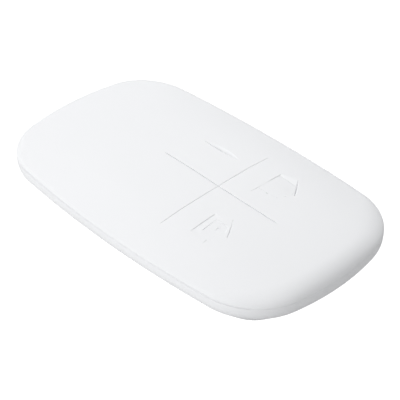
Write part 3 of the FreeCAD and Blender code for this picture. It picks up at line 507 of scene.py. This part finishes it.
def key_piece(name, along, across, far_in_x):
    """Half a key, cut along its diagonal, as a closed slab."""
    index_of = {}
    far, near = [], []
    for i in range(LAST + 1):
        for j in range(i + 1):
            index_of[i, j] = len(far)
            far.append(GRID[i])
            near.append(GRID[j])
    far, near = np.array(far), np.array(near)
    u, v = (far, near) if far_in_x else (near, far)
    top = field_points(along, across, u, v)
    faces = []
    for i in range(LAST):
        for j in range(i):
            square = (i, j), (i + 1, j), (i + 1, j + 1), (i, j + 1)
            faces.append(tuple(index_of[place] for place in square))
        faces.append((index_of[i, i], index_of[i + 1, i], index_of[i + 1, i + 1]))
    border = [index_of[i, 0] for i in range(LAST + 1)]
    border += [index_of[LAST, j] for j in range(1, LAST + 1)]
    border += [index_of[i, i] for i in range(LAST - 1, 0, -1)]
    low = top[border].copy()
    low[:, 2] = KEY_UNDERSIDE
    start = len(top)
    count = len(border)
    for k in range(count):
        after = (k + 1) % count
        faces.append((border[after], border[k], start + k, start + after))
    faces.append(tuple(start + k for k in range(count - 1, -1, -1)))
    if (along * across > 0) != far_in_x:
        faces = [tuple(reversed(face)) for face in faces]
    piece = add_skin(name, np.concatenate([top, low]), faces)
    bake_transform(piece)
    return piece


def window_border():
    """The key field's border, once round, with the same points as the keys' outer edges."""
    forward = [(LAST, j) for j in range(LAST + 1)]
    forward += [(i, LAST) for i in range(LAST - 1, -1, -1)]
    backward = forward[::-1]
    quarters = [
        (1, 1, forward), (-1, 1, backward[1:]), (-1, -1, forward[1:]), (1, -1, backward[1:-1]),
    ]
    rows = [(along, across, GRID[i], GRID[j]) for along, across, part in quarters for i, j in part]
    return field_points(*np.array(rows).T)


# Cover. Its top goes from the rim through a zone of rings along the outline, then through rings
# that turn into the field's border. Its underside goes back, and its edge forms the seam's gap.

SEAM_GAP = 0.055
KEY_END_CLOSING, KEY_END_CLOSING_FACING = 0.8, (0.35, 0.95)
FAR_END_CLOSING, FAR_END_CLOSING_FACING = 0.6, (0.1, 0.9)
SEAM_DEPTH = 0.3
SEAM_DEPTH_SHARE = 0.4
SEAM_ROUND = 0.03
COVER_THICKNESS = 0.9
ZONE_WIDTH, ZONE_RINGS, ZONE_POWER = 5.2, 46, 1.6
TURNING_RINGS, UNDER_TURNING_RINGS = 34, 10
UNDER_INSETS, FOOT_INSETS = (3.6, 2.4), (1.7, 0.9)
MIDDLE_CLEARANCE, RIM_CLEARANCE = 0.1, 0.05


def samples_towards(border):
    """For each border point, the fractional outline sample in its direction from the cross."""
    zone_edge = EDGE - ZONE_WIDTH * NORMAL
    angles = np.arctan2(zone_edge[:, 1], zone_edge[:, 0] - CROSS_X)
    order = np.argsort(angles)
    samples = order.astype(float)
    jump = np.where(np.diff(samples) < -1)[0][0]
    samples[jump + 1:] += len(EDGE)
    turns = np.array([-1, 0, 1])[:, None]
    all_angles = (angles[order] + 2 * math.pi * turns).ravel()
    all_samples = (samples + len(EDGE) * turns).ravel()
    border_angles = np.arctan2(border[:, 1], border[:, 0] - CROSS_X)
    return np.interp(border_angles, all_angles, all_samples) % len(EDGE)


def outline_at(position):
    """Outline points and normals at fractional samples."""
    first = np.floor(position).astype(int) % len(EDGE)
    second = (first + 1) % len(EDGE)
    share = (position - np.floor(position))[:, None]
    point = EDGE[first] * (1 - share) + EDGE[second] * share
    normal = NORMAL[first] * (1 - share) + NORMAL[second] * share
    return point, normal / np.linalg.norm(normal, axis=1)[:, None]


def seam_gap(normal):
    """Height of the seam's gap, by the rim's direction: it gets smaller towards the ends."""
    key = smooth(*KEY_END_CLOSING_FACING, normal[:, 0])
    far = smooth(*FAR_END_CLOSING_FACING, -normal[:, 0])
    return SEAM_GAP * (1 - KEY_END_CLOSING * key) * (1 - FAR_END_CLOSING * far)


border = window_border()
edge, normal = outline_at(samples_towards(border))
rim_z = crown(edge[:, 0], edge[:, 1])
gap = seam_gap(normal)


def rim_ring(inset):
    """A ring of the cover's top at a distance inwards from the rim."""
    xy = edge - inset * normal
    z = crown(xy[:, 0], xy[:, 1]) - roll(normal, inset, rim_z)
    return np.column_stack([xy, z])


def turning_ring(share):
    """A ring of the crown between the zone's inner edge (share 0) and the field (share 1)."""
    xy = (edge - ZONE_WIDTH * normal) * (1 - share) + border[:, :2] * share
    return np.column_stack([xy, crown(xy[:, 0], xy[:, 1])])


def level_ring(inset, z):
    """A ring at a distance inwards from the rim, with one height or a height for each point."""
    return np.column_stack([edge - inset * normal, np.broadcast_to(z, len(edge))])


def lowered(ring, clearance):
    """A ring of the underside from a ring of the top, with a clearance above the seam."""
    ring[:, 2] = np.maximum(ring[:, 2] - COVER_THICKNESS, SEAM + clearance)
    return ring


rings = [rim_ring(inset) for inset in ZONE_WIDTH * np.linspace(0, 1, ZONE_RINGS) ** ZONE_POWER]
rings += [turning_ring(share) for share in np.linspace(0, 1, TURNING_RINGS)[1:-1]]
rings += [border]
for share in np.linspace(1, 0, UNDER_TURNING_RINGS):
    rings.append(lowered(turning_ring(share), MIDDLE_CLEARANCE))
rings += [lowered(rim_ring(inset), RIM_CLEARANCE) for inset in UNDER_INSETS]
rings += [level_ring(inset, SEAM) for inset in FOOT_INSETS]
rings += [level_ring(SEAM_DEPTH, SEAM + SEAM_DEPTH_SHARE * gap)]
rings += [level_ring(SEAM_ROUND, SEAM + gap), level_ring(0, SEAM + gap + SEAM_ROUND)]
faces = ring_faces(len(rings), len(border), close=True)
cover = add_skin("cover_skin", np.concatenate(rings), faces)
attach(cover, "housing")
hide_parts("top_cover")

for key_name, (along, across) in KEYS.items():
    end_half = key_piece(f"{key_name}_end_half", along, across, True)
    key_piece(f"{key_name}_side_half", along, across, False)
    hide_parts(f"{key_name}_key")

# Back cover. Its profile is a list of insets and heights, inside from the floor up to the seam,
# then outside down to the base. A rounding has a radius and a number of points.

FLANK_RUN, FLANK_RISE = 5.86, 5.62
FLANK_ROUND, BASE_ROUND = (2.8, 26), (1.0, 10)
WALL = 1.6
INSIDE = [(6.6, 1.4), (WALL, 5.1), (WALL, SEAM)]
SEAM_LIP = [(SEAM_ROUND, SEAM), (0, SEAM - SEAM_ROUND), (0, 7.2), (0, 6.8)]
FLANK_SHARES = (0.3, 0.5, 0.7)

# Round solids that are joined or cut: radius, lower and upper end, and number of sides
SCREW_POST = (2.6, 0.7, 5.5, 48)
SCREW_RECESS = (1.75, -1, 1.5, 72)
SCREW_BORE = (1.1, 1.2, 6.5, 36)
DOOR_POCKET = (12.1, -1, 0.9, 180)
DOOR_HOLE = (11.2, -1, 3, 160)
SCREWS = [(21.2, 9.6), (21.2, -9.6), (-22.0, 10.5), (-22.0, -10.5)]
CELL_X = -11.5


def fillet(corner, before, after, radius, count):
    """Points of a rounding at a corner of a profile, between the directions to its neighbours."""
    corner, before, after = (np.array(p, float) for p in (corner, before, after))
    one = (before - corner) / np.linalg.norm(before - corner)
    two = (after - corner) / np.linalg.norm(after - corner)
    half = math.acos(float(one @ two)) / 2
    reach = radius / math.tan(half)
    middle = corner + (one + two) / np.linalg.norm(one + two) * radius / math.sin(half)
    first, last = corner + one * reach - middle, corner + two * reach - middle
    start, end = math.atan2(first[1], first[0]), math.atan2(last[1], last[0])
    if start - end > math.pi:
        end += 2 * math.pi
    turn = np.linspace(start, end, count)
    circle = [middle[0] + radius * np.cos(turn), middle[1] + radius * np.sin(turn)]
    return np.column_stack(circle).tolist()


outside = SEAM_LIP + fillet((0, FLANK_RISE), (0, SEAM), (FLANK_RUN, 0), *FLANK_ROUND)
outside += [(FLANK_RUN * share, FLANK_RISE * (1 - share)) for share in FLANK_SHARES]
outside += fillet((FLANK_RUN, 0), (0, FLANK_RISE), (FLANK_RUN + 4, 0), *BASE_ROUND)
tray = closed_stack("back_shell", INSIDE + outside, outline_ring)
for number, (x, y) in enumerate(SCREWS):
    combine(tray, disc(f"post_{number}", x, y, *SCREW_POST), "UNION")
    combine(tray, disc(f"recess_{number}", x, y, *SCREW_RECESS), "DIFFERENCE")
    combine(tray, disc(f"bore_{number}", x, y, *SCREW_BORE), "DIFFERENCE")
combine(tray, disc("door_pocket", CELL_X, 0, *DOOR_POCKET), "DIFFERENCE")
combine(tray, disc("door_hole", CELL_X, 0, *DOOR_HOLE), "DIFFERENCE")
# Removes the empty slot that the Boolean leaves
tray.data.materials.clear()
tray.data.materials.append(SHELL)
shade(tray.data, TRAY_SHARP_ANGLE)
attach(tray, "housing")
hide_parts("back_cover")


def switch_nodes(part):
    """The names of the four nodes of one part of the keys' switches."""
    return tuple(f"{key_name}_switch_{part}" for key_name in KEYS)


# Materials of the pieces that keep their own solids: the pieces, the noise's two colours and
# its scale, the range of roughness, and how metallic they are
LOOKS = {
    "door_white": (
        ("battery_door",),
        (0.83, 0.83, 0.835), (0.845, 0.845, 0.85), 60, (0.48, 0.55), 0.0),
    "seal_grey": (
        ("case_seal", "door_seal"),
        (0.10, 0.10, 0.105), (0.13, 0.13, 0.135), 400, (0.7, 0.8), 0.0),
    "screw_zinc": (
        ("case_screws",),
        (0.50, 0.51, 0.53), (0.62, 0.63, 0.64), 900, (0.25, 0.4), 1.0),
    "board_green": (
        ("circuit_board",),
        (0.015, 0.12, 0.05), (0.02, 0.17, 0.07), 150, (0.3, 0.45), 0.0),
    "epoxy_black": (
        ("controller_chip", "radio_chip", "chip_resistors"),
        (0.02, 0.02, 0.022), (0.035, 0.035, 0.037), 2500, (0.45, 0.6), 0.0),
    "can_metal": (
        ("radio_crystal",),
        (0.6, 0.6, 0.58), (0.7, 0.7, 0.68), 900, (0.2, 0.35), 1.0),
    "clear_plastic": (
        ("status_led", "light_pipe"),
        (0.75, 0.8, 0.8), (0.85, 0.88, 0.88), 500, (0.08, 0.15), 0.0),
    "ceramic_tan": (
        ("chip_capacitors",),
        (0.36, 0.25, 0.15), (0.45, 0.32, 0.2), 1500, (0.5, 0.65), 0.0),
    "wire_copper": (
        ("antenna_wire",),
        (0.75, 0.5, 0.3), (0.85, 0.6, 0.38), 1200, (0.22, 0.35), 1.0),
    "cell_steel": (
        ("cell_can", "cell_cap"),
        (0.62, 0.62, 0.61), (0.7, 0.7, 0.69), 500, (0.25, 0.38), 1.0),
    "gasket_grey": (
        ("cell_gasket",),
        (0.12, 0.12, 0.13), (0.16, 0.16, 0.17), 600, (0.5, 0.6), 0.0),
    "holder_black": (
        ("battery_holder",) + switch_nodes("base"),
        (0.02, 0.02, 0.022), (0.04, 0.04, 0.042), 900, (0.4, 0.55), 0.0),
    "contact_nickel": (
        ("positive_contact", "negative_contact") + switch_nodes("plate"),
        (0.66, 0.63, 0.58), (0.74, 0.72, 0.67), 800, (0.22, 0.34), 1.0),
    "plunger_ivory": (
        switch_nodes("plunger"),
        (0.55, 0.5, 0.42), (0.62, 0.57, 0.49), 700, (0.45, 0.55), 0.0),
}
for name, (owners, first, second, scale, rough, metallic) in LOOKS.items():
    look = noise_material(name, first, second, scale, rough, NODE_BUMP, metallic)
    for owner in owners:
        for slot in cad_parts[owner].material_slots:
            slot.material = look

# Snap domes: thin caps of a ball, which their keys press nearly flat

DOME_THICKNESS = 0.1
DOME_MIDDLE_SHARE = 0.03
DOME_RINGS, DOME_SIDES = 16, 64
for key_name in KEYS:
    dome_low, dome_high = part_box(f"{key_name}_switch_dome")
    centre_x = (dome_low[0] + dome_high[0]) / 2 / MM
    centre_y = (dome_low[1] + dome_high[1]) / 2 / MM
    base_z, height = dome_low[2] / MM, (dome_high[2] - dome_low[2]) / MM
    reach = (dome_high[0] - dome_low[0]) / 2 / MM
    ball = (reach**2 + height**2) / (2 * height)
    ball_z = base_z + height - ball
    inner_ball = ball - DOME_THICKNESS
    inner_reach = math.sqrt(inner_ball**2 - (base_z - ball_z) ** 2)
    outer_radii = reach * np.linspace(DOME_MIDDLE_SHARE, 1, DOME_RINGS)
    inner_radii = inner_reach * np.linspace(1, DOME_MIDDLE_SHARE, DOME_RINGS)
    levels = [(r, ball_z + math.sqrt(ball**2 - r**2)) for r in outer_radii]
    levels += [(r, ball_z + math.sqrt(inner_ball**2 - r**2)) for r in inner_radii]
    dome = closed_stack(f"{key_name}_dome", levels, circle_at(centre_x, centre_y, DOME_SIDES))
    shade(dome.data, SKIN_SHARP_ANGLE)
    dome.data.materials.append(bpy.data.materials["contact_nickel"])
    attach(dome, "housing")
    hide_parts(f"{key_name}_switch_dome")
    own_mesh(dome)

# Floor and light, in metres. The paper has the noise's two colours and its scale, the range of
# roughness, and no relief.

FLOOR_HALF = 3
FLOOR_DROP = 0.00002
PAPER = ((0.74, 0.74, 0.74), (0.76, 0.76, 0.76), 8, (0.9, 0.95), 0.0)
WORLD_STRENGTH = 0.475


def floor_plane(name, z, emission):
    """A large level plane of pale paper."""
    half = FLOOR_HALF
    corners = [(-half, -half, z), (half, -half, z), (half, half, z), (-half, half, z)]
    mesh = bpy.data.meshes.new(name)
    mesh.from_pydata(corners, [], [(0, 1, 2, 3)])
    plane = bpy.data.objects.new(name, mesh)
    bpy.context.scene.collection.objects.link(plane)
    paper = noise_material(f"{name}_paper", *PAPER)
    shader = paper.node_tree.nodes["Principled BSDF"]
    shader.inputs["Emission Color"].default_value = (1, 1, 1, 1)
    shader.inputs["Emission Strength"].default_value = emission
    shader.inputs["Specular IOR Level"].default_value = 0.0
    mesh.materials.append(paper)
    return plane


# The upper plane gives the light that a floor throws back, the lower one is the white that shows
bounce = floor_plane("floor_bounce", 0.0, 0.0)
bounce.visible_camera = False
floor = floor_plane("floor", -FLOOR_DROP, 1.0)
floor.visible_diffuse = False
floor.visible_glossy = False
floor.visible_transmission = False
floor.visible_shadow = False

scene = bpy.context.scene
world = bpy.data.worlds.new("studio")
scene.world = world
world.use_nodes = True
background = world.node_tree.nodes["Background"]
background.inputs["Color"].default_value = (1, 1, 1, 1)
background.inputs["Strength"].default_value = WORLD_STRENGTH
scene.view_settings.view_transform = "Standard"


def soft_light(name, azimuth, elevation, distance, size, watts):
    """A round lamp that faces the object."""
    data = bpy.data.lights.new(name, "AREA")
    data.shape = "DISK"
    data.size = size
    data.energy = watts
    lamp = bpy.data.objects.new(name, data)
    turn, rise = math.radians(azimuth), math.radians(elevation)
    level = math.cos(rise)
    toward = Vector((math.cos(turn) * level, math.sin(turn) * level, math.sin(rise)))
    lamp.location = toward * distance
    lamp.rotation_euler = toward.to_track_quat("Z", "Y").to_euler()
    lamp.visible_camera = False
    scene.collection.objects.link(lamp)


# Name, azimuth and elevation in degrees, distance and size in metres, power in watts
LAMPS = [
    ("back_near", 105, 45, 0.12, 0.05, 0.0262),
    ("back_left", 145, 55, 0.3, 0.12, 0.129),
    ("left_near", 180, 50, 0.2, 0.08, 0.039),
    ("front_left_low", 250, 18, 0.5, 0.2, 0.469),
    ("front_mid", 275, 35, 0.5, 0.2, 0.798),
]
for lamp_values in LAMPS:
    soft_light(*lamp_values)

# Camera, placed by a fit to the photograph's outline. Its clip range is in metres.

AZIMUTH, ELEVATION, TILT = math.radians(44.477), math.radians(37.783), math.radians(1.514)
DISTANCE = 252.817
FOCAL_PIXELS = 1498.2
FRAME_PIXELS = 400
CENTRE_PIXEL = (197.749, 199.954)
TARGET = Vector((0, 0, 4.83))
SENSOR = 36
CLIP_START, CLIP_END = 0.01, 10
level = math.cos(ELEVATION)
back = Vector((math.sin(AZIMUTH) * level, -math.cos(AZIMUTH) * level, math.sin(ELEVATION)))
side = (-back).cross(Vector((0, 0, 1))).normalized()
upward = side.cross(-back)
right = side * math.cos(TILT) + upward * math.sin(TILT)
up = -side * math.sin(TILT) + upward * math.cos(TILT)
offset_x = -(CENTRE_PIXEL[0] - FRAME_PIXELS / 2) * DISTANCE / FOCAL_PIXELS
offset_y = (CENTRE_PIXEL[1] - FRAME_PIXELS / 2) * DISTANCE / FOCAL_PIXELS
eye = TARGET + back * DISTANCE + right * offset_x + up * offset_y
camera_data = bpy.data.cameras.new("camera")
camera = bpy.data.objects.new("camera", camera_data)
scene.collection.objects.link(camera)
turn = Matrix((right, up, back)).transposed().to_4x4()
camera.matrix_world = Matrix.Translation(eye * MM) @ turn
camera_data.sensor_fit = "HORIZONTAL"
camera_data.sensor_width = SENSOR
camera_data.lens = FOCAL_PIXELS / FRAME_PIXELS * SENSOR
camera_data.clip_start = CLIP_START
camera_data.clip_end = CLIP_END
scene.camera = camera
